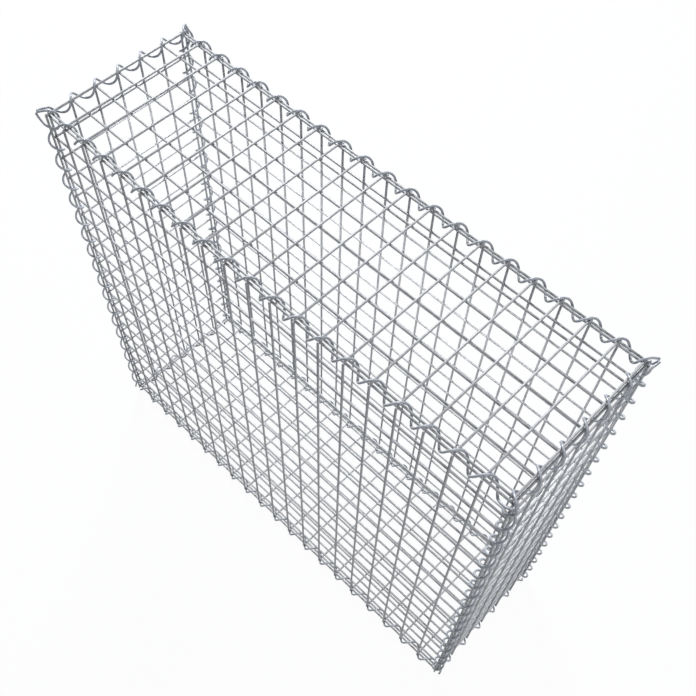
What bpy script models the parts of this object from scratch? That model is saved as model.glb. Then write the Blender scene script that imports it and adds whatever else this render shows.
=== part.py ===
"""Gabion basket of welded wire mesh, closed and empty.

Six mesh panels (front, back, two ends, base and lid) are laced together along the twelve edges
by helical wire spirals, one turn to each mesh cell. Metres, +Z up, length along X.
"""

import math

import bmesh
import bpy
from mathutils import Matrix, Vector

# Driving dimensions
CELL = 0.050  # mesh cell, wire centre to wire centre; a spiral makes one turn in it
CELLS_LONG = 20
CELLS_DEEP = 6
CELLS_HIGH = 18
MESH_WIRE = 0.004  # diameter of the panels' wire
SPIRAL_WIRE = 0.004  # diameter of the spirals' wire
SPIRAL_ROOM = 0.00093  # play of the edge wires across the inside of a spiral
CLEARANCE = 0.0003  # between pieces that touch
WELD_DEPTH = 0.0002  # how far a panel's edge wires melt into the wires that cross them
CROSSING_GAP = 0.0001  # hairline between the wires that cross inside a panel
WIRE_STUB = 0.0014  # wire past the weld where a panel ends inside its neighbours
PANEL_GAP = 0.0004  # from a wire's end to the wire of the next panel
RISER_TOP = 0.0015  # upright wires above the topmost wire of a wall
RISER_BOTTOM = 0.005  # and below the lowest
LID_OVERHANG = 0.0015  # the lid's and base's cross wires past the front and back walls
LID_SIDE_GAP = 0.002  # between a wall's top wire and the lid's edge wire beside it
END_INSET = 0.0007  # the end walls stand this far inside the last cell line
LONG_SPIRAL_INSET = 0.0017  # the long spirals' axes stand this far inside the front and back
END_SPIRAL_LEAN = 52  # degrees: where a short spiral hangs from the lid's edge wire

# Fineness of the solids
WIRE_SIDES = 5
SPIRAL_STEPS = 6  # straight runs in a turn

STEEL_BRIGHT = (0.50, 0.52, 0.55)
STEEL_SPIRAL = (0.56, 0.58, 0.61)
STEEL_ROUGHNESS = 0.38

# What follows from them
LENGTH = CELLS_LONG * CELL
DEPTH = CELLS_DEEP * CELL
HEIGHT = CELLS_HIGH * CELL
WIRE_RADIUS = MESH_WIRE / 2
LAYER_STEP = MESH_WIRE + CROSSING_GAP  # inner wires to outer wires, centre to centre
EDGE_SINK = CROSSING_GAP + WELD_DEPTH  # an edge wire's shift towards the other layer
EDGE_LAYER = LAYER_STEP - EDGE_SINK  # inner plane to an outer edge wire
LID_RISE = CLEARANCE + WELD_DEPTH  # lid's inner plane above the walls' top wires
SIDE_INSET = MESH_WIRE + LID_SIDE_GAP  # lid's long edge wires, in from the front and back
CORNER_INSET = WIRE_RADIUS + PANEL_GAP + WIRE_STUB  # end wall's edge uprights, in from the front
LID_END_INSET = END_INSET + CORNER_INSET  # lid's short edge wires, in from the ends

TOUCH = WIRE_RADIUS + SPIRAL_WIRE / 2 + CLEARANCE  # spiral wire to a mesh wire that it bears on
REACH = MESH_WIRE + SPIRAL_ROOM  # a spiral's axis to the edge wire that it bears on
TURN_STEP = 2 * math.pi / SPIRAL_STEPS
SPIRAL_RADIUS = (REACH + TOUCH) / math.cos(TURN_STEP / 2)  # to the bends between straight runs

SHARP_ANGLE = math.radians(80)  # wider than the sides of a wire, narrower than its cut end


def clear_scene():
    for old in list(bpy.data.objects):
        bpy.data.objects.remove(old, do_unlink=True)


def new_collection(name):
    collection = bpy.data.collections.new(name)
    bpy.context.scene.collection.children.link(collection)
    return collection


def galvanised(name, colour):
    material = bpy.data.materials.new(name)
    material.use_nodes = True
    shader = material.node_tree.nodes["Principled BSDF"]
    shader.inputs["Base Color"].default_value = (*colour, 1)
    shader.inputs["Metallic"].default_value = 1.0
    shader.inputs["Roughness"].default_value = STEEL_ROUGHNESS
    return material


def add_wire(mesh, start, end, ridge):
    """A cut length of wire: a prism with one ridge towards the layer that it crosses."""
    start, end, ridge = Vector(start), Vector(end), Vector(ridge)
    along = (end - start).normalized()
    turn = Matrix((ridge.cross(along), ridge, along)).transposed().to_4x4()
    bmesh.ops.create_cone(
        mesh,
        cap_ends=True,
        segments=WIRE_SIDES,
        radius1=WIRE_RADIUS,
        radius2=WIRE_RADIUS,
        depth=(end - start).length,
        matrix=Matrix.Translation((start + end) / 2) @ turn,
    )


def cell_lines(cells, inset):
    """Wire places across a panel, centred, with the two edge wires moved in."""
    half = cells * CELL / 2
    lines = [i * CELL - half for i in range(1, cells)]
    return [inset - half, *lines, half - inset]


def wire_layer(name, lines, low, high, plane, edge_plane, across):
    """Parallel wires at the given places: along local X, or along local Y where across is set."""
    mesh = bmesh.new()
    ridge = (0, 0, 1) if edge_plane > plane else (0, 0, -1)
    for place in lines:
        height = edge_plane if place in (lines[0], lines[-1]) else plane
        ends = [(low, place, height), (high, place, height)]
        if across:
            ends = [(y, x, z) for x, y, z in ends]
        add_wire(mesh, *ends, ridge)
    data = bpy.data.meshes.new(name)
    mesh.to_mesh(data)
    mesh.free()
    data.shade_smooth()
    data.set_sharp_from_angle(angle=SHARP_ANGLE)
    return bpy.data.objects.new(name, data)


def add_panel(name, row_lines, row_reach, riser_lines, riser_low, riser_high, place):
    """One welded panel: rows along local X inside, risers along local Y outside, outward is +Z.

    The outer wires are joined to the inner ones by a union, which welds the panel's edges.
    """
    rows = wire_layer(name, row_lines, -row_reach, row_reach, 0, EDGE_SINK, False)
    risers = wire_layer(
        name + "_risers", riser_lines, riser_low, riser_high, LAYER_STEP, EDGE_LAYER, True
    )
    rows.data.materials.append(galvanised(name + "_steel", STEEL_BRIGHT))
    parts.objects.link(rows)
    cutters.objects.link(risers)
    for wires in (rows, risers):
        wires.parent = stand
        wires.matrix_local = place
    risers.hide_render = True
    risers.display_type = "WIRE"
    weld = rows.modifiers.new("weld", "BOOLEAN")
    weld.operation = "UNION"
    weld.solver = "EXACT"
    weld.object = risers


def add_wall(name, cells, row_inset, row_reach, quarter_turns, outward):
    """An upright panel: its outward side is turned round from the front by quarter turns."""
    upright = Matrix.Rotation(math.pi / 2, 4, "X")
    turned = Matrix.Rotation(quarter_turns * math.pi / 2, 4, "Z")
    half = HEIGHT / 2
    place = Matrix.Translation((outward[0], outward[1], half)) @ turned @ upright
    add_panel(
        name,
        cell_lines(CELLS_HIGH, 0),
        row_reach,
        cell_lines(cells, row_inset),
        -half - RISER_BOTTOM,
        half + RISER_TOP,
        place,
    )


def add_flat_panel(name, place):
    """The base or the lid, which lie across the tops and feet of the four walls."""
    add_panel(
        name,
        cell_lines(CELLS_DEEP, SIDE_INSET),
        LENGTH / 2 - LID_END_INSET + WIRE_STUB,
        cell_lines(CELLS_LONG, LID_END_INSET),
        -DEPTH / 2 - LID_OVERHANG,
        DEPTH / 2 + LID_OVERHANG,
        place,
    )


def build_panels():
    long_reach = LENGTH / 2 + WIRE_STUB
    short_reach = DEPTH / 2 - CORNER_INSET + WIRE_STUB
    end_plane = LENGTH / 2 - END_INSET
    add_wall("front_panel", CELLS_LONG, 0, long_reach, 0, (0, -DEPTH / 2))
    add_wall("back_panel", CELLS_LONG, 0, long_reach, 2, (0, DEPTH / 2))
    add_wall("right_end_panel", CELLS_DEEP, CORNER_INSET, short_reach, 1, (end_plane, 0))
    add_wall("left_end_panel", CELLS_DEEP, CORNER_INSET, short_reach, 3, (-end_plane, 0))
    add_flat_panel("lid_panel", Matrix.Translation((0, 0, HEIGHT + LID_RISE)))
    face_down = Matrix.Rotation(math.pi, 4, "X")
    add_flat_panel("base_panel", Matrix.Translation((0, 0, -LID_RISE)) @ face_down)


# A spiral is drawn about its local Z, then turned so that Z runs along the edge that it laces.
ALONG = {
    "X": Matrix(((0, 0, 1), (1, 0, 0), (0, 1, 0))).to_4x4(),
    "Y": Matrix(((0, 1, 0), (0, 0, 1), (1, 0, 0))).to_4x4(),
    "Z": Matrix.Identity(4),
}


def add_spiral(name, along, start, cells, hand, phase, first, last):
    """A lacing spiral, with its wire at the angle phase wherever it passes a mesh line.

    start is the axis at the edge's first mesh line. hand is 1 for a right-hand spiral and -1 for
    a left-hand one. first and last say how many straight runs it starts and ends past the
    edge's first and last mesh lines.
    """
    steps = range(first, cells * SPIRAL_STEPS + last + 1)
    curve = bpy.data.curves.new(name, "CURVE")
    curve.dimensions = "3D"
    curve.twist_mode = "MINIMUM"
    curve.bevel_depth = SPIRAL_WIRE / 2
    curve.bevel_resolution = 0
    curve.use_fill_caps = True
    spline = curve.splines.new("POLY")
    spline.points.add(len(steps) - 1)
    for point, step in zip(spline.points, steps):
        angle = math.radians(phase) + hand * step * TURN_STEP
        across = SPIRAL_RADIUS * math.cos(angle), SPIRAL_RADIUS * math.sin(angle)
        point.co = (*across, step * CELL / SPIRAL_STEPS, 1)
    curve.materials.append(galvanised(name + "_steel", STEEL_SPIRAL))
    spiral = bpy.data.objects.new(name, curve)
    parts.objects.link(spiral)
    spiral.parent = stand
    spiral.matrix_local = Matrix.Translation(start) @ ALONG[along]


def bends_over(phase):
    """Height of a spiral's axis over a mesh wire that it passes across, bent at that angle.

    The wire falls away from the bend on both sides, so it is the steeper run that must clear.
    """
    top = abs(math.sin(math.radians(phase)))
    turn = math.degrees(TURN_STEP)
    sides = [abs(math.sin(math.radians(phase + way * turn))) for way in (1, -1)]
    fall = SPIRAL_RADIUS * (top - min(sides))
    run = CELL / SPIRAL_STEPS
    return TOUCH * math.hypot(run, fall) / run - SPIRAL_RADIUS * top


def beside(wire, lean):
    """The axis of a spiral that bears on an edge wire, in the direction lean from that wire."""
    angle = math.radians(lean)
    return wire[0] + REACH * math.cos(angle), wire[1] + REACH * math.sin(angle)


def build_long_spirals():
    """Top and bottom, front and back: each bears on the cross wires of the lid or the base."""
    cross_wire = LID_RISE + LAYER_STEP
    side = DEPTH / 2 - LONG_SPIRAL_INSET
    top_phase, bottom_phase = 85, -95
    top = HEIGHT + cross_wire + bends_over(top_phase)
    bottom = -cross_wire - bends_over(bottom_phase)
    for name, y, z, phase, first, last in (
        ("top_front_spiral", -side, top, top_phase, 2, -1),
        ("top_back_spiral", side, top, top_phase, 1, -2),
        ("bottom_front_spiral", -side, bottom, bottom_phase, 1, -2),
        ("bottom_back_spiral", side, bottom, bottom_phase, 2, -1),
    ):
        add_spiral(name, "X", (-LENGTH / 2, y, z), CELLS_LONG, -1, phase, first, last)


def build_end_spirals():
    """Across the ends, top and bottom: each hangs from the lid's or the base's short edge wire."""
    edge_x = LENGTH / 2 - LID_END_INSET
    edge_z = LID_RISE + EDGE_LAYER
    x, drop = beside((edge_x, 0), -END_SPIRAL_LEAN)
    top = HEIGHT + edge_z + drop
    bottom = -edge_z - drop
    for name, side_x, z, hand, phase, first, last in (
        ("top_left_spiral", -x, top, -1, 0, -2, 1),
        ("top_right_spiral", x, top, -1, 10, -1, 1),
        ("bottom_left_spiral", -x, bottom, -1, 40, 2, -2),
        ("bottom_right_spiral", x, bottom, 1, -164, 2, -1),
    ):
        add_spiral(name, "Y", (side_x, -DEPTH / 2, z), CELLS_DEEP, hand, phase, first, last)


def build_corner_spirals():
    """Up the four corners: each bears on the edge upright of the front or the back wall."""
    edge_y = DEPTH / 2 + EDGE_LAYER
    for name, corner_x, wall_y, lean, hand, phase in (
        ("front_right_spiral", LENGTH / 2, -edge_y, 90, 1, 50),
        ("front_left_spiral", -LENGTH / 2, -edge_y, 143, -1, 173),
        ("back_right_spiral", LENGTH / 2, edge_y, -79, -1, 13),
        ("back_left_spiral", -LENGTH / 2, edge_y, -118, 1, 165),
    ):
        x, y = beside((corner_x, wall_y), lean)
        add_spiral(name, "Z", (x, y, 0), CELLS_HIGH, hand, phase, -1, 0)


def stand_on_ground():
    """Moves the basket so that the middle of its footprint is the origin and it rests on Z = 0."""
    bpy.context.view_layer.update()
    graph = bpy.context.evaluated_depsgraph_get()
    points = []
    for part in parts.objects:
        if part.type == "EMPTY":
            continue
        shape = part.evaluated_get(graph)
        points += [part.matrix_world @ vertex.co for vertex in shape.to_mesh().vertices]
        shape.to_mesh_clear()
    low = [min(point[i] for point in points) for i in range(3)]
    high = [max(point[i] for point in points) for i in range(3)]
    stand.location = (-(low[0] + high[0]) / 2, -(low[1] + high[1]) / 2, -low[2])
    bpy.context.view_layer.update()


clear_scene()
parts = new_collection("gabion_basket")
cutters = new_collection("gabion_basket_cutters")
stand = bpy.data.objects.new("gabion_basket_stand", None)
parts.objects.link(stand)
build_panels()
build_long_spirals()
build_end_spirals()
build_corner_spirals()
stand_on_ground()
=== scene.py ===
import math

import bmesh
import bpy
from mathutils import Matrix, Vector
from mathutils.geometry import interpolate_bezier


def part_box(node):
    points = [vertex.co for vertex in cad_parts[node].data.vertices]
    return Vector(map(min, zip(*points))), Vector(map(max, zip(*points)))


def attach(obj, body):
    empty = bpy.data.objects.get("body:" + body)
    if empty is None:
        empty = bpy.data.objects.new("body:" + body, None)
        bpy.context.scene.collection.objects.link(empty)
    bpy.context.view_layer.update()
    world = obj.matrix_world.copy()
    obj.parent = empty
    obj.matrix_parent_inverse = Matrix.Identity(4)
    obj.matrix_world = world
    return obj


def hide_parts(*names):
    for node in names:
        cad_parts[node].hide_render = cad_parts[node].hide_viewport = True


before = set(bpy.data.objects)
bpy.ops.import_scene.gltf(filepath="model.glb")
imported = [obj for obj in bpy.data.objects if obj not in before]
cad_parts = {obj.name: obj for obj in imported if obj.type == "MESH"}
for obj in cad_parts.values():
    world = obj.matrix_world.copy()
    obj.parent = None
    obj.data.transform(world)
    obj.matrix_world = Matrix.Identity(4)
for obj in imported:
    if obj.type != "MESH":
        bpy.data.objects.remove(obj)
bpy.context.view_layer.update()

scene = bpy.context.scene
print("frame loaded")

# the basket as the CAD has it: cell counts, and lengths in metres
basket = {
    "cell": 0.050,
    "long": 20,
    "deep": 6,
    "high": 18,
    "riserTop": 0.0015,  # uprights above a wall's top row
    "riserBottom": 0.005,  # and below its lowest row
    "lidGap": 0.0005,  # lid's inner wires above the walls' top rows
}
halfLength = basket["long"] * basket["cell"] / 2
halfDepth = basket["deep"] * basket["cell"] / 2
height = basket["high"] * basket["cell"]

# middle of the basket's foot, at the walls' lowest row, read from the frame
frontLow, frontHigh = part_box("front_panel")
lidLow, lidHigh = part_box("lid_panel")
foot = Vector(
    (
        (frontLow.x + frontHigh.x) / 2,
        (lidLow.y + lidHigh.y) / 2,
        frontLow.z + basket["riserBottom"],
    )
)


def hexColour(code):  # sRGB hex to linear
    shares = [int(code[i : i + 2], 16) / 255 for i in (1, 3, 5)]
    linear = [s / 12.92 if s <= 0.04045 else ((s + 0.055) / 1.055) ** 2.4 for s in shares]
    return (*linear, 1)


# a setting whose name starts in lower case is the node's own, any other is a socket's value
def addNode(tree, kind, settings, links=None):
    node = tree.nodes.new(kind)
    for name, value in settings.items():
        if isinstance(name, str) and name[0].islower():
            setattr(node, name, value)
        else:
            node.inputs[name].default_value = value
    for name, source in (links or {}).items():
        tree.links.new(source, node.inputs[name])
    return node


# finishes

zinc = {
    "mottle": 0.006,  # soft grey clouds of the zinc bath
    "speck": 0.0012,  # dull oxide specks
    "grain": 0.0004,  # grain of the drawn wire, coarser than the real one so that it shows
    "speckShare": 0.35,  # how much the specks add to the clouds
    "darkUpTo": 0.5,  # clouds and specks together
    "lightFrom": 0.85,
    "roughUpTo": 0.3,  # clouds alone
    "smoothFrom": 0.7,
    "grainHeight": 0.0001,
}


def makeZinc(name, finish):
    material = bpy.data.materials.new(name)
    material.use_nodes = True
    tree = material.node_tree
    shader = tree.nodes["Principled BSDF"]
    place = addNode(tree, "ShaderNodeTexCoord", {}).outputs["Object"]
    clouds = addNode(
        tree,
        "ShaderNodeTexNoise",
        {"Scale": 1 / zinc["mottle"], "Detail": 2.0, "Roughness": 0.5},
        {"Vector": place},
    )
    specks = addNode(
        tree,
        "ShaderNodeTexNoise",
        {"Scale": 1 / zinc["speck"], "Detail": 1.0, "Roughness": 0.6},
        {"Vector": place},
    )
    both = addNode(
        tree,
        "ShaderNodeMath",
        {"operation": "MULTIPLY_ADD", 1: zinc["speckShare"]},
        {0: specks.outputs["Fac"], 2: clouds.outputs["Fac"]},
    )
    tone = addNode(tree, "ShaderNodeValToRGB", {}, {"Fac": both.outputs[0]})
    dark, light = tone.color_ramp.elements
    dark.position, dark.color = zinc["darkUpTo"], hexColour(finish["dark"])
    light.position, light.color = zinc["lightFrom"], hexColour(finish["light"])
    tree.links.new(tone.outputs["Color"], shader.inputs["Base Color"])
    dull = addNode(
        tree,
        "ShaderNodeMapRange",
        {
            "From Min": zinc["roughUpTo"],
            "From Max": zinc["smoothFrom"],
            "To Min": finish["rough"],
            "To Max": finish["smooth"],
        },
        {"Value": clouds.outputs["Fac"]},
    )
    tree.links.new(dull.outputs["Result"], shader.inputs["Roughness"])
    grain = addNode(
        tree,
        "ShaderNodeTexNoise",
        {"Scale": 1 / zinc["grain"], "Detail": 0.0},
        {"Vector": place},
    )
    relief = addNode(
        tree,
        "ShaderNodeBump",
        {"Strength": finish["bump"], "Distance": zinc["grainHeight"]},
        {"Height": grain.outputs["Fac"]},
    )
    tree.links.new(relief.outputs["Normal"], shader.inputs["Normal"])
    shader.inputs["Metallic"].default_value = finish["metallic"]
    return material


# All three are zinc under a dull skin. Their metallic share is far below a metal's,
# because wire in a white room would mirror white all round and lose its dark undersides.

# hot-dip galvanised mesh wire: pale and faintly mottled, with a soft sheen
meshFinish = {
    "light": "#dadde1",
    "dark": "#bfc2c7",
    "metallic": 0.02,
    "smooth": 0.34,
    "rough": 0.46,
    "bump": 0.1,
}
meshZinc = makeZinc("galvanised_mesh_wire", meshFinish)

# zinc-coated spring wire, drawn after dipping: smoother, bluer and a little darker
springFinish = {
    "light": "#d0d6df",
    "dark": "#b1b8c3",
    "metallic": 0.06,
    "smooth": 0.26,
    "rough": 0.36,
    "bump": 0.05,
}
springZinc = makeZinc("galvanised_spring_wire", springFinish)

# resistance weld under the zinc: greyer and rougher where the wires melted together
weldFinish = {
    "light": "#c0c4ca",
    "dark": "#a2a6ad",
    "metallic": 0.02,
    "smooth": 0.42,
    "rough": 0.55,
    "bump": 0.3,
}
weldZinc = makeZinc("galvanised_weld", weldFinish)


# shared modelling steps

wire = {
    "sides": 16,
    "radius": 0.002,
    "cutEdge": 0.0004,  # burr worn off the sheared ends
    "weldRadius": 0.0026,
    "weldHeight": 0.0012,  # from a weld's middle to its top
    "weldSides": 8,
    "weldRings": 5,
    "sharpFrom": 50,  # degrees between faces
}


def addWire(mesh, start, end):
    along = end - start
    turn = along.to_track_quat("Z", "X").to_matrix().to_4x4()
    bmesh.ops.create_cone(
        mesh,
        cap_ends=True,
        segments=wire["sides"],
        radius1=wire["radius"],
        radius2=wire["radius"],
        depth=along.length,
        matrix=Matrix.Translation((start + end) / 2) @ turn,
    )


def roundCutEnds(mesh):  # the cut ends are the only faces with more than four corners
    rims = {edge for face in mesh.faces if len(face.verts) > 4 for edge in face.edges}
    bmesh.ops.bevel(
        mesh,
        geom=list(rims),
        offset=wire["cutEdge"],
        affect="EDGES",
        segments=1,
        profile=0.5,
        material=-1,
    )


def addWelds(mesh, across, along, z):  # one weld, then a row of them, then all the rows
    before = set(mesh.verts)
    bmesh.ops.create_uvsphere(
        mesh,
        u_segments=wire["weldSides"],
        v_segments=wire["weldRings"],
        radius=wire["weldRadius"],
    )
    weld = [v for v in mesh.verts if v not in before]
    flat = wire["weldHeight"] / wire["weldRadius"]
    bmesh.ops.scale(mesh, vec=(1, 1, flat), verts=weld)
    bmesh.ops.translate(mesh, vec=(across[0], along[0], z), verts=weld)
    faces = {f for v in weld for f in v.link_faces}
    for face in faces:
        face.material_index = 1  # second material of a panel
    made = list(faces)
    for places, axis in ((across, 0), (along, 1)):
        group = list(made)
        for place in places[1:]:
            copied = bmesh.ops.duplicate(mesh, geom=group)["geom"]
            step = [0, 0, 0]
            step[axis] = place - places[0]
            verts = [g for g in copied if isinstance(g, bmesh.types.BMVert)]
            bmesh.ops.translate(mesh, vec=step, verts=verts)
            made += [g for g in copied if isinstance(g, bmesh.types.BMFace)]


def finishPiece(mesh, name, place, materials, node):
    bmesh.ops.transform(mesh, matrix=place, verts=mesh.verts)
    data = bpy.data.meshes.new(name)
    mesh.to_mesh(data)
    mesh.free()
    data.shade_smooth()
    data.set_sharp_from_angle(angle=math.radians(wire["sharpFrom"]))
    for material in materials:
        data.materials.append(material)
    piece = bpy.data.objects.new(name, data)
    scene.collection.objects.link(piece)
    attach(piece, "root")
    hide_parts(node)


# welded panels

panels = {
    "layerStep": 0.0041,  # inner wires to outer wires, centre to centre
    "edgeSink": 0.0003,  # how far the edge wires are pressed towards each other
    "rowReach": 0.0014,  # rows past the corner uprights
    "cornerInset": 0.0038,  # end walls' edge uprights, in from the front and back
    "endInset": 0.0007,  # end walls, in from the last cell line
    "sideInset": 0.006,  # lid's long edge wires, in from the front and back
    "overhang": 0.0015,  # lid's cross wires past the front and back
}
longReach = halfLength + panels["rowReach"]
shortReach = halfDepth - panels["cornerInset"] + panels["rowReach"]
endPlane = halfLength - panels["endInset"]


def cellLines(cells, inset):
    half = cells * basket["cell"] / 2
    return [inset - half, *[i * basket["cell"] - half for i in range(1, cells)], half - inset]


# rows run along X and risers along Y, on the side that faces out
def addPanel(name, rows, rowReach, risers, riserLow, riserHigh, place):
    mesh = bmesh.new()
    for y in rows:
        z = panels["edgeSink"] if y in (rows[0], rows[-1]) else 0
        addWire(mesh, Vector((-rowReach, y, z)), Vector((rowReach, y, z)))
    for x in risers:
        z = panels["layerStep"] - (panels["edgeSink"] if x in (risers[0], risers[-1]) else 0)
        addWire(mesh, Vector((x, riserLow, z)), Vector((x, riserHigh, z)))
    roundCutEnds(mesh)
    addWelds(mesh, risers, rows, panels["layerStep"] / 2)
    finishPiece(mesh, name + "_wires", place, [meshZinc, weldZinc], name)


def addWall(name, own):
    half = height / 2
    place = (
        Matrix.Translation(foot + Vector((*own["middle"], half)))
        @ Matrix.Rotation(own["quarterTurns"] * math.pi / 2, 4, "Z")
        @ Matrix.Rotation(math.pi / 2, 4, "X")
    )
    addPanel(
        name,
        cellLines(basket["high"], 0),
        own["rowReach"],
        cellLines(own["cells"], own["edgeInset"]),
        -half - basket["riserBottom"],
        half + basket["riserTop"],
        place,
    )


def addFlatPanel(name, own):
    endInset = panels["endInset"] + panels["cornerInset"]
    place = (
        Matrix.Translation(foot + Vector((0, 0, own["level"])))
        @ Matrix.Rotation(own["quarterTurns"] * math.pi / 2, 4, "X")
    )
    addPanel(
        name,
        cellLines(basket["deep"], panels["sideInset"]),
        halfLength - endInset + panels["rowReach"],
        cellLines(basket["long"], endInset),
        -halfDepth - panels["overhang"],
        halfDepth + panels["overhang"],
        place,
    )


frontPanel = {
    "cells": basket["long"],
    "edgeInset": 0,
    "rowReach": longReach,
    "quarterTurns": 0,
    "middle": (0, -halfDepth),
}
addWall("front_panel", frontPanel)

backPanel = {
    "cells": basket["long"],
    "edgeInset": 0,
    "rowReach": longReach,
    "quarterTurns": 2,
    "middle": (0, halfDepth),
}
addWall("back_panel", backPanel)

rightEndPanel = {
    "cells": basket["deep"],
    "edgeInset": panels["cornerInset"],
    "rowReach": shortReach,
    "quarterTurns": 1,
    "middle": (endPlane, 0),
}
addWall("right_end_panel", rightEndPanel)

leftEndPanel = {
    "cells": basket["deep"],
    "edgeInset": panels["cornerInset"],
    "rowReach": shortReach,
    "quarterTurns": 3,
    "middle": (-endPlane, 0),
}
addWall("left_end_panel", leftEndPanel)

lidPanel = {"level": height + basket["lidGap"], "quarterTurns": 0}
addFlatPanel("lid_panel", lidPanel)

basePanel = {"level": -basket["lidGap"], "quarterTurns": 2}
addFlatPanel("base_panel", basePanel)
print("panels built")


# lacing spirals

spiral = {
    "radius": 0.0103,  # axis to wire centre
    "wireRadius": 0.002,
    "sides": 12,
    "stepsPerTurn": 32,
    "tailSteps": 14,
    "headingStep": 0.001,  # cells, to find the way in which an end points
    "longDrop": 0.0015,  # long spirals' axes, in from the top and lowest cell lines
    "longInset": 0.0017,  # and in from the front and back
    "endInset": 0.00146,  # end spirals' axes, in from the ends
    "endRise": 0.00042,  # above the top cell line
    "endDrop": 0.0003,  # below the lowest
}
lineTop, lineLow = height - spiral["longDrop"], spiral["longDrop"]
lineSide = halfDepth - spiral["longInset"]
endLine = halfLength - spiral["endInset"]
endTop, endLow = height + spiral["endRise"], -spiral["endDrop"]

turned = {  # from a spiral on Z to one on the named axis
    "X": Matrix(((0, 0, 1), (1, 0, 0), (0, 1, 0))).to_4x4(),
    "Y": Matrix(((0, 1, 0), (0, 0, 1), (1, 0, 0))).to_4x4(),
    "Z": Matrix.Identity(4),
}


def helixPoint(own, t):  # t in cells from the first mesh line
    angle = math.radians(own["phase"]) + own["hand"] * 2 * math.pi * t
    reach = spiral["radius"]
    return Vector((reach * math.cos(angle), reach * math.sin(angle), t * basket["cell"]))


def tailPath(own, tail, t, way, place):  # from the coil's end at t to the tip
    side, end = tail["corner"]
    corner = foot + Vector((side * halfLength, end * halfDepth, height))
    lead, tip = (place.inverted() @ (corner + Vector(tail[key])) for key in ("lead", "tip"))
    begin = helixPoint(own, t)
    heading = (helixPoint(own, t + spiral["headingStep"] * way) - begin).normalized()
    straight = begin + heading * tail["reach"]
    return interpolate_bezier(begin, straight, lead, tip, spiral["tailSteps"])


def drawOut(mesh, rim, path):  # carries a wire's open end on along the path
    heading = path[1] - path[0]
    for i in range(1, len(path)):
        grown = bmesh.ops.extrude_edge_only(mesh, edges=rim)["geom"]
        verts = [g for g in grown if isinstance(g, bmesh.types.BMVert)]
        ends = set(verts)
        edges = [g for g in grown if isinstance(g, bmesh.types.BMEdge)]
        rim = [e for e in edges if ends.issuperset(e.verts)]
        ahead = path[min(i + 1, len(path) - 1)] - path[i - 1]
        turn = heading.rotation_difference(ahead).to_matrix()
        bmesh.ops.rotate(mesh, cent=path[i - 1], matrix=turn, verts=verts)
        bmesh.ops.translate(mesh, vec=path[i] - path[i - 1], verts=verts)
        heading = ahead


def addSpiral(name, own):
    cell, hand, first = basket["cell"], own["hand"], own["first"]
    last = own["cells"] + own["last"]
    slope = math.atan2(cell, 2 * math.pi * spiral["radius"])
    mesh = bmesh.new()
    ring = bmesh.ops.create_circle(
        mesh, cap_ends=False, segments=spiral["sides"], radius=spiral["wireRadius"]
    )["verts"]
    lean = Matrix.Rotation(-hand * (math.pi / 2 - slope), 3, "X")
    bmesh.ops.rotate(mesh, verts=ring, matrix=lean)
    bmesh.ops.translate(mesh, verts=ring, vec=(spiral["radius"], 0, first * cell))
    angle = math.radians(own["phase"]) + hand * 2 * math.pi * first
    bmesh.ops.rotate(mesh, verts=ring, matrix=Matrix.Rotation(angle, 3, "Z"))
    steps = round((last - first) * spiral["stepsPerTurn"])
    bmesh.ops.spin(
        mesh,
        geom=mesh.verts[:] + mesh.edges[:],
        cent=(0, 0, 0),
        axis=(0, 0, 1),
        dvec=(0, 0, (last - first) * cell / steps),
        angle=hand * 2 * math.pi * (last - first),
        steps=steps,
        use_merge=False,
    )
    place = Matrix.Translation(foot + Vector(own["start"])) @ turned[own["along"]]
    rims = [e for e in mesh.edges if e.is_boundary]
    middle = (first + last) / 2 * cell
    for key, t, way in (("firstTail", first, -1), ("lastTail", last, 1)):
        if key in own:
            rim = [e for e in rims if (e.verts[0].co.z - middle) * way > 0]
            drawOut(mesh, rim, tailPath(own, own[key], t, way, place))
    bmesh.ops.holes_fill(mesh, edges=[e for e in mesh.edges if e.is_boundary])
    roundCutEnds(mesh)
    bmesh.ops.recalc_face_normals(mesh, faces=mesh.faces)
    finishPiece(mesh, name + "_wire", place, [springZinc], name)


# A spiral starts where its axis meets the first mesh line. Its phase is the wire's angle
# there, in degrees, and hand 1 winds like a common screw. Its ends are counted in cells
# past the first and the last mesh line. At the top corners, ends leave the coil and come
# together, each on a Bezier curve: reach is the length of its first handle, in the wire's
# own direction, lead is its other handle and tip its end, both measured from the corner
# of the cell lines. They were placed by hand over the photo. A separate search program
# then shifted them, and where the coil stops, until the ends were clear of every other
# wire, except for the two ends at the corner nearest the camera, which stayed as placed.

topFront = {
    "along": "X",
    "start": (-halfLength, -lineSide, lineTop),
    "cells": basket["long"],
    "hand": -1,
    "phase": 82,
    "first": 0.243,
    "last": -0.38,
    "firstTail": {
        "corner": (-1, -1),
        "reach": 0.0052,
        "lead": (0.0096, 0.0063, 0.0163),
        "tip": (-0.0081, -0.0141, 0.0089),
    },
    "lastTail": {
        "corner": (1, -1),
        "reach": 0.0080,
        "lead": (-0.0040, -0.0095, -0.0060),
        "tip": (0.0039, -0.0087, 0.0032),
    },
}
addSpiral("top_front_spiral", topFront)

topBack = {
    "along": "X",
    "start": (-halfLength, lineSide, lineTop),
    "cells": basket["long"],
    "hand": -1,
    "phase": 84,
    "first": 0.167,
    "last": -0.293,
    "firstTail": {
        "corner": (-1, 1),
        "reach": 0.0051,
        "lead": (-0.0002, 0.0085, 0.0102),
        "tip": (-0.0029, 0.0084, 0.0108),
    },
    "lastTail": {
        "corner": (1, 1),
        "reach": 0.0058,
        "lead": (-0.0076, -0.0037, 0.0156),
        "tip": (0.0088, 0.0096, 0.0095),
    },
}
addSpiral("top_back_spiral", topBack)

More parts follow.
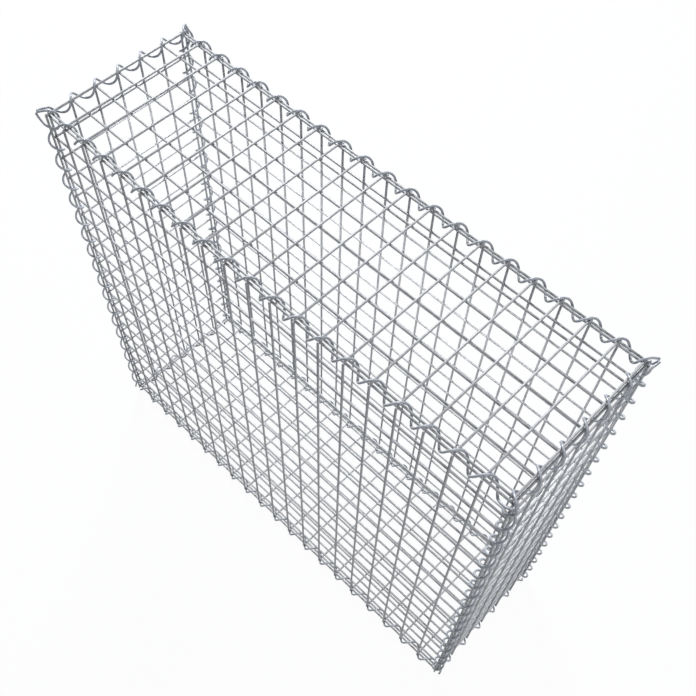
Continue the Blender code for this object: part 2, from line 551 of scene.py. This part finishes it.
bottomFront = {
    "along": "X",
    "start": (-halfLength, -lineSide, lineLow),
    "cells": basket["long"],
    "hand": -1,
    "phase": -97,
    "first": 1 / 6,
    "last": -2 / 6,
}
addSpiral("bottom_front_spiral", bottomFront)

bottomBack = {
    "along": "X",
    "start": (-halfLength, lineSide, lineLow),
    "cells": basket["long"],
    "hand": -1,
    "phase": -98,
    "first": 2 / 6,
    "last": -1 / 6,
}
addSpiral("bottom_back_spiral", bottomBack)

topLeft = {
    "along": "Y",
    "start": (-endLine, -halfDepth, endTop),
    "cells": basket["deep"],
    "hand": -1,
    "phase": 0,
    "first": 0.166,
    "last": 0.12,
    "firstTail": {
        "corner": (-1, -1),
        "reach": 0.0062,
        "lead": (-0.0106, -0.0048, 0.0083),
        "tip": (-0.0120, -0.0123, 0.0084),
    },
}
addSpiral("top_left_spiral", topLeft)

topRight = {
    "along": "Y",
    "start": (endLine, -halfDepth, endTop),
    "cells": basket["deep"],
    "hand": -1,
    "phase": 10,
    "first": -1 / 6,
    "last": -0.202,
    "lastTail": {
        "corner": (1, 1),
        "reach": 0.0070,
        "lead": (0.0103, -0.0021, 0.0039),
        "tip": (0.0112, 0.0061, 0.0093),
    },
}
addSpiral("top_right_spiral", topRight)

bottomLeft = {
    "along": "Y",
    "start": (-endLine, -halfDepth, endLow),
    "cells": basket["deep"],
    "hand": -1,
    "phase": 40,
    "first": 2 / 6,
    "last": -2 / 6,
}
addSpiral("bottom_left_spiral", bottomLeft)

bottomRight = {
    "along": "Y",
    "start": (endLine, -halfDepth, endLow),
    "cells": basket["deep"],
    "hand": 1,
    "phase": -164,
    "first": 2 / 6,
    "last": -1 / 6,
}
addSpiral("bottom_right_spiral", bottomRight)

frontRight = {
    "along": "Z",
    "start": (halfLength, -halfDepth + 0.00113, 0),
    "cells": basket["high"],
    "hand": 1,
    "phase": 50,
    "first": -1 / 6,
    "last": -0.28,
    "lastTail": {
        "corner": (1, -1),
        "reach": 0.0040,
        "lead": (0.0105, -0.0070, -0.0060),
        "tip": (0.0084, -0.0046, 0.0004),
    },
}
addSpiral("front_right_spiral", frontRight)

frontLeft = {
    "along": "Z",
    "start": (-halfLength - 0.00395, -halfDepth - 0.00085, 0),
    "cells": basket["high"],
    "hand": -1,
    "phase": 173,
    "first": -1 / 6,
    "last": -0.303,
    "lastTail": {
        "corner": (-1, -1),
        "reach": 0.0061,
        "lead": (-0.0150, -0.0127, -0.0027),
        "tip": (-0.0112, -0.0146, 0.0046),
    },
}
addSpiral("front_left_spiral", frontLeft)

backRight = {
    "along": "Z",
    "start": (halfLength + 0.00096, halfDepth - 0.00104, 0),
    "cells": basket["high"],
    "hand": -1,
    "phase": 13,
    "first": -1 / 6,
    "last": -0.195,
    "lastTail": {
        "corner": (1, 1),
        "reach": 0.0038,
        "lead": (0.0080, 0.0083, 0.0003),
        "tip": (0.0086, 0.0095, 0.0050),
    },
}
addSpiral("back_right_spiral", backRight)

backLeft = {
    "along": "Z",
    "start": (-halfLength - 0.0023, halfDepth - 0.0006, 0),
    "cells": basket["high"],
    "hand": 1,
    "phase": 165,
    "first": -1 / 6,
    "last": -0.371,
    "lastTail": {
        "corner": (-1, 1),
        "reach": 0.0081,
        "lead": (-0.0027, 0.0101, 0.0001),
        "tip": (-0.0088, 0.0077, 0.0049),
    },
}
addSpiral("back_left_spiral", backLeft)
print("spirals built")


# floor, light and camera

studio = {
    "floorRadius": 12.0,
    "floorSides": 96,
    "floor": "#34363a",
    "floorRoughness": 0.9,
    "floorLift": 0.96,  # white added to what the camera and the metal see of the floor
    "tint": (0.96, 1.0, 1.07),  # the room's light is a little cool
    "horizon": 0.006,  # how bright the room is near the floor
    "horizonUpTo": 0.15,  # height of a direction, from 0 at the horizon to 1 overhead
    "ceiling": 0.06,
    "ceilingFrom": 0.8,
}
white = (1, 1, 1, 1)


def seenRays(tree):  # 1 for the rays in which the camera and the metal see the background
    rays = addNode(tree, "ShaderNodeLightPath", {}).outputs
    seen = rays["Is Camera Ray"]
    for kind in ("Is Glossy Ray", "Is Transmission Ray"):
        both = addNode(tree, "ShaderNodeMath", {"operation": "MAXIMUM"}, {0: seen, 1: rays[kind]})
        seen = both.outputs[0]
    return seen


mesh = bmesh.new()
bmesh.ops.create_circle(
    mesh, cap_ends=True, segments=studio["floorSides"], radius=studio["floorRadius"]
)
data = bpy.data.meshes.new("studio_floor")
mesh.to_mesh(data)
mesh.free()
floor = bpy.data.objects.new("studio_floor", data)
scene.collection.objects.link(floor)

# shows as matt white paper, but is dark to the lamps: it keeps the basket's shadow and
# sends little light up to the undersides of the wires
paper = bpy.data.materials.new("white_paper")
paper.use_nodes = True
tree = paper.node_tree
shader = tree.nodes["Principled BSDF"]
shader.inputs["Base Color"].default_value = hexColour(studio["floor"])
shader.inputs["Roughness"].default_value = studio["floorRoughness"]
shader.inputs["Specular IOR Level"].default_value = 0.0
shader.inputs["Emission Color"].default_value = white
lift = addNode(
    tree,
    "ShaderNodeMath",
    {"operation": "MULTIPLY", 1: studio["floorLift"]},
    {0: seenRays(tree)},
)
tree.links.new(lift.outputs[0], shader.inputs["Emission Strength"])
data.materials.append(paper)

# the room: nearly dark walls and a dim ceiling, seen as white
world = bpy.data.worlds.new("studio")
scene.world = world
world.use_nodes = True
tree = world.node_tree
background = tree.nodes["Background"]
direction = addNode(tree, "ShaderNodeTexCoord", {}).outputs["Generated"]
up = addNode(tree, "ShaderNodeSeparateXYZ", {}, {"Vector": direction})
sky = addNode(tree, "ShaderNodeValToRGB", {}, {"Fac": up.outputs["Z"]})
sky.color_ramp.interpolation = "EASE"
for stop, level, rise in (
    (sky.color_ramp.elements[0], studio["horizon"], studio["horizonUpTo"]),
    (sky.color_ramp.elements[1], studio["ceiling"], studio["ceilingFrom"]),
):
    stop.position = rise
    stop.color = (*(level * share for share in studio["tint"]), 1)
shown = addNode(
    tree,
    "ShaderNodeMix",
    {"data_type": "RGBA", 7: white},
    {0: seenRays(tree), 6: sky.outputs["Color"]},
)
tree.links.new(shown.outputs[2], background.inputs["Color"])

# a lamp that isn't aimed at the basket's middle shines straight down
lamps = {
    "key_softbox": {
        "place": (-2.2, 1.85, 3.4),
        "size": (1.0, 1.0),
        "power": 172,
        "aimed": True,
    },
    "fill_softbox": {
        "place": (2.5, -1.0, 1.7),
        "size": (1.0, 1.0),
        "power": 20,
        "aimed": True,
    },
    "inner_strip": {  # just under the lid, so that the far walls stay pale
        "place": (0, 0, 0.86),
        "size": (0.9, 0.04),
        "power": 1.1,
        "aimed": False,
    },
}
basketMiddle = foot + Vector((0, 0, height / 2))
for name, own in lamps.items():
    lamp = bpy.data.lights.new(name, "AREA")
    lamp.shape = "RECTANGLE"
    lamp.size, lamp.size_y = own["size"]
    lamp.energy = own["power"]
    rig = bpy.data.objects.new(name, lamp)
    rig.location = own["place"]
    if own["aimed"]:
        aim = Vector(own["place"]) - basketMiddle
        rig.rotation_euler = aim.to_track_quat("Z", "Y").to_euler()
    rig.visible_camera = False
    scene.collection.objects.link(rig)

camera = {
    "place": (0.6398, -0.6332, 1.9600),
    "tilt": 31.364,  # degrees from looking straight down
    "turn": 44.976,
    "lens": 45.69,  # mm
    "sensor": 36,  # mm
    "shift": (0.0389, 0.0350),
    "nearest": 0.05,
}
lens = bpy.data.cameras.new("camera")
lens.lens = camera["lens"]
lens.sensor_width = camera["sensor"]
lens.shift_x, lens.shift_y = camera["shift"]
lens.clip_start = camera["nearest"]
view = bpy.data.objects.new("camera", lens)
view.location = camera["place"]
view.rotation_euler = (math.radians(camera["tilt"]), 0, math.radians(camera["turn"]))
scene.collection.objects.link(view)
scene.camera = view
scene.view_settings.view_transform = "Standard"
print("studio ready")
